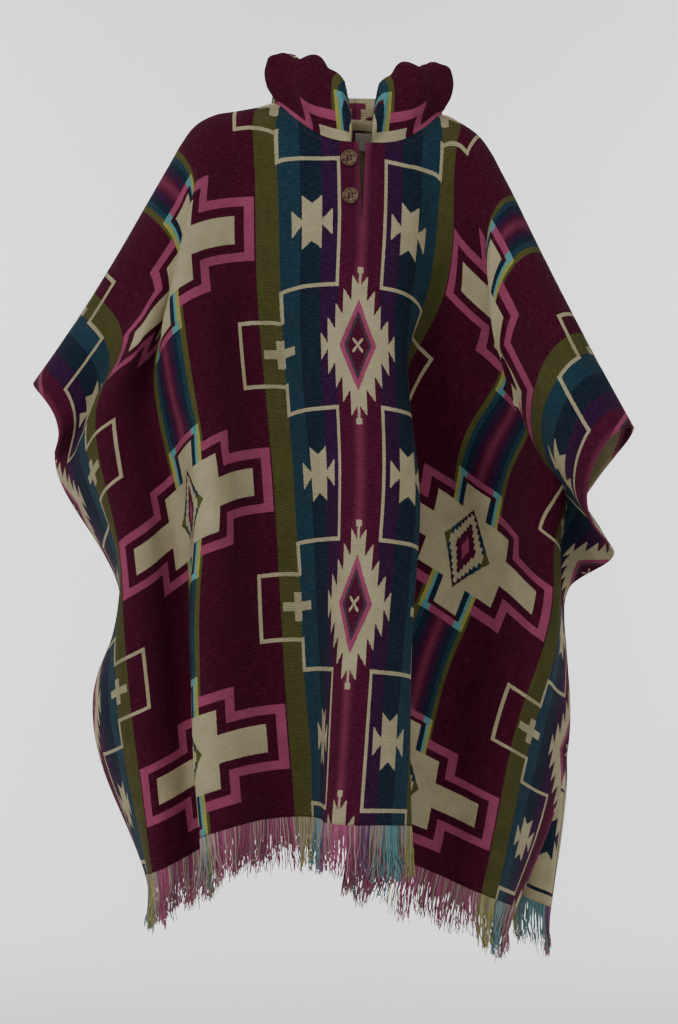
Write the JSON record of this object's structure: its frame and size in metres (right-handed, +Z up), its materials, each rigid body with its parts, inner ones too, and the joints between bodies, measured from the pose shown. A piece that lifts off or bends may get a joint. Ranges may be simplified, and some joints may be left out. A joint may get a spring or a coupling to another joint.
{
  "type": "poncho",
  "caption": "Hooded pullover blanket poncho as worn: two patterned panels open at the sides, a short buttoned front slit, a hood laid back round the neck and fringed hems.",
  "frame": {"origin": "the middle of the shoulder line, where the wearer's shoulders hold the poncho", "axes": "+Z up, -Y out of the front, +X to the viewer's right when the front is looked at"},
  "size_m": [0.7062, 0.4202, 1.118],
  "materials": {
    "blanket": "napped, matt",
    "hood_cloth": "napped, matt",
    "yarn": "twisted yarn, matt",
    "shell": "polished coconut shell",
    "tape": "plain woven tape"
  },
  "bodies": {
    "root": {"front_panel": "blanket", "back_panel": "blanket", "hood_left": "hood_cloth", "hood_right": "hood_cloth", "fringe_front": "yarn", "fringe_back": "yarn", "button_upper": "shell", "button_lower": "shell", "neck_label": "tape"}
  },
  "joints": []
}
